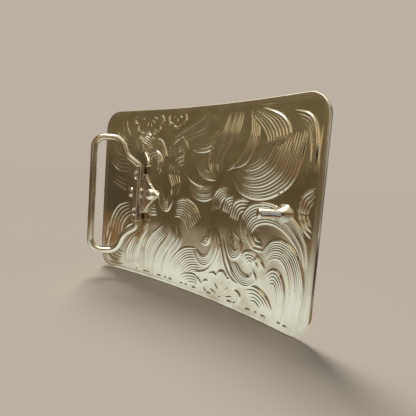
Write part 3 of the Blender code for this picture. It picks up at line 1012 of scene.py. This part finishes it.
def make_patch(name, start, end, inner, outer, color):
    """A darker part of the near floor, between two azimuths and two distances."""
    material, _, glow = glow_material(name)
    glow.inputs["Color"].default_value = (*color, 1)
    azimuths = np.linspace(start, end, 25)
    points = [around(azimuth, radius, 0.0005) for radius in (inner, outer) for azimuth in azimuths]
    reflected_only(stage_mesh(name, points, grid_faces(2, len(azimuths)), material))


def make_cards():
    """A dark band round the horizon, bright at its foot, with a few warm and black parts."""
    cream = (0.80, 0.83, 0.76)
    dim = (0.37, 0.32, 0.24)
    foot = (0.40, 0.33, 0.24)
    olive = (0.125, 0.092, 0.046)
    dark_olive = (0.090, 0.070, 0.040)
    warm_olive = (0.175, 0.132, 0.070)
    copper = (0.27, 0.155, 0.072)
    gold = (0.62, 0.47, 0.27)
    brown = (0.30, 0.175, 0.105)
    black = (0.022, 0.021, 0.024)
    shade = (0.050, 0.044, 0.036)
    grey = (0.45, 0.43, 0.38)
    soft_grey = (0.25, 0.23, 0.20)
    bands = (
        ("olive_card", -58, -14, ((0.11, olive), (0.35, olive), (0.50, warm_olive), (0.90, warm_olive))),
        ("gold_card", -14, 8, ((0.07, olive), (0.42, dark_olive), (0.50, gold), (0.90, gold))),
        ("brown_card", 8, 48, ((0.07, brown), (0.40, brown), (0.46, black), (0.54, black),
                               (0.62, gold), (0.90, gold))),
        ("shade_card", 48, 72, ((0.07, shade), (0.90, shade))),
        ("prong_card", 72, 104, ((0.035, black), (0.20, black), (0.24, cream), (0.29, soft_grey),
                                 (0.40, soft_grey), (0.48, grey), (0.90, grey))),
        ("shade_back_card", 104, 156, ((0.07, shade), (0.90, shade))),
        ("pale_card", 156, 180, ((0.07, grey), (0.90, grey))),
        ("pale_back_card", -180, -112, ((0.07, grey), (0.90, grey))),
        ("amber_card", -112, -80, ((0.07, copper), (0.18, copper), (0.22, dark_olive), (0.42, dark_olive),
                                   (0.50, gold), (0.90, gold))),
        ("copper_card", -80, -58, ((0.07, copper), (0.15, copper), (0.22, dark_olive), (0.42, dark_olive),
                                   (0.52, warm_olive), (0.90, warm_olive))),
    )
    for name, start, end, middle in bands:
        make_card(name, start, end, CARD_HEIGHT, ((0.0, dim), (0.03, foot), *middle, (1.0, LOW_SKY)))
    make_reflector("near_floor", cream, dim)
    make_patch("copper_floor", -132, -76, 0.040, 0.0575, (0.26, 0.17, 0.09))
    make_patch("prong_floor", 70, 106, 0.052, 0.0715, (0.30, 0.15, 0.05))


def add_softbox(name, place, aim, size, power, color):
    """An area light that only shows as a highlight on the metal."""
    data = bpy.data.lights.new(name, "AREA")
    data.shape = "RECTANGLE"
    data.size, data.size_y = size
    data.energy = power
    data.color = color
    lamp = bpy.data.objects.new(name, data)
    lamp.location = place
    lamp.rotation_euler = (Vector(aim) - Vector(place)).to_track_quat("-Z", "Y").to_euler()
    lamp.visible_diffuse = False
    bpy.context.scene.collection.objects.link(lamp)


def add_soft_sun():
    """Even light on the floor, from one side, with a soft shadow."""
    data = bpy.data.lights.new("soft_sun", "SUN")
    data.energy = SUN_STRENGTH
    data.angle = SUN_SPREAD
    data.color = (1.0, 0.98, 0.95)
    lamp = bpy.data.objects.new("soft_sun", data)
    lamp.rotation_euler = Vector(SUN_WAY).to_track_quat("-Z", "Y").to_euler()
    lamp.visible_glossy = False
    bpy.context.scene.collection.objects.link(lamp)


def make_world():
    """Surroundings: even light for the floor, a graded sky in reflections, the backdrop for the camera."""
    world = bpy.data.worlds.new("studio")
    bpy.context.scene.world = world
    world.use_nodes = True
    tree = world.node_tree
    tree.nodes.clear()

    def background(color, strength):
        node = tree.nodes.new("ShaderNodeBackground")
        node.inputs["Color"].default_value = (*color, 1)
        node.inputs["Strength"].default_value = strength
        return node

    def choose(factor, first, second):
        node = tree.nodes.new("ShaderNodeMixShader")
        tree.links.new(factor, node.inputs[0])
        tree.links.new(first.outputs[0], node.inputs[1])
        tree.links.new(second.outputs[0], node.inputs[2])
        return node

    path = tree.nodes.new("ShaderNodeLightPath")
    place = tree.nodes.new("ShaderNodeTexCoord")
    parts = tree.nodes.new("ShaderNodeSeparateXYZ")
    tree.links.new(place.outputs["Generated"], parts.inputs[0])
    sky = graded(tree, parts.outputs["Z"], SKY)
    mirrored = background((1, 1, 1), 1.0)
    tree.links.new(sky, mirrored.inputs["Color"])
    even = background(EVEN_SKY, EVEN_STRENGTH)
    seen = background(BACKDROP, 1.0)
    lit = choose(path.outputs["Is Glossy Ray"], even, mirrored)
    shown = choose(path.outputs["Is Camera Ray"], lit, seen)
    output = tree.nodes.new("ShaderNodeOutputWorld")
    tree.links.new(shown.outputs[0], output.inputs["Surface"])


def make_camera():
    """The viewpoint: from the wearer's side, beyond the prong, a little above the plate's middle."""
    data = bpy.data.cameras.new("camera")
    data.lens = CAMERA_LENS
    data.sensor_width = 36.0
    data.clip_start = 0.005
    camera = bpy.data.objects.new("camera", data)
    right = Vector(CAMERA_RIGHT)
    up = Vector(CAMERA_UP)
    forward = up.cross(right)
    turn = Matrix((right, up, -forward)).transposed().to_4x4()
    camera.matrix_world = Matrix.Translation(CAMERA_PLACE) @ turn
    bpy.context.scene.collection.objects.link(camera)
    bpy.context.scene.camera = camera


def make_stage():
    make_floor()
    make_world()
    make_cards()
    add_soft_sun()
    for softbox in SOFTBOXES:
        add_softbox(*softbox)
    bpy.context.scene.view_settings.view_transform = "Standard"


def main():
    make_camera()
    make_stage()
    metal = {name: nickel(name, *look, name == "plate_metal") for name, look in METALS.items()}
    plate = metal["plate_metal"]
    middle = -PLATE_THICKNESS / 2
    panel_skin("panel_back_left", PANEL_CELL, 0.0, middle, plate, -1, 0)
    panel_skin("panel_back_right", PANEL_CELL, 0.0, middle, plate, 0, 1)
    panel_skin("panel_front", FRONT_CELL, -PLATE_THICKNESS, middle, plate)
    make_rim(metal["rim_metal"])
    make_bracket(metal["bracket_metal"])
    make_rivet("rivet_outer", -1, metal["rivet_metal"])
    make_rivet("rivet_inner", 1, metal["rivet_metal"])
    make_bail(metal["wire_metal"])
    make_prong(metal["prong_metal"])
    make_solder(metal["solder_metal"])


main()
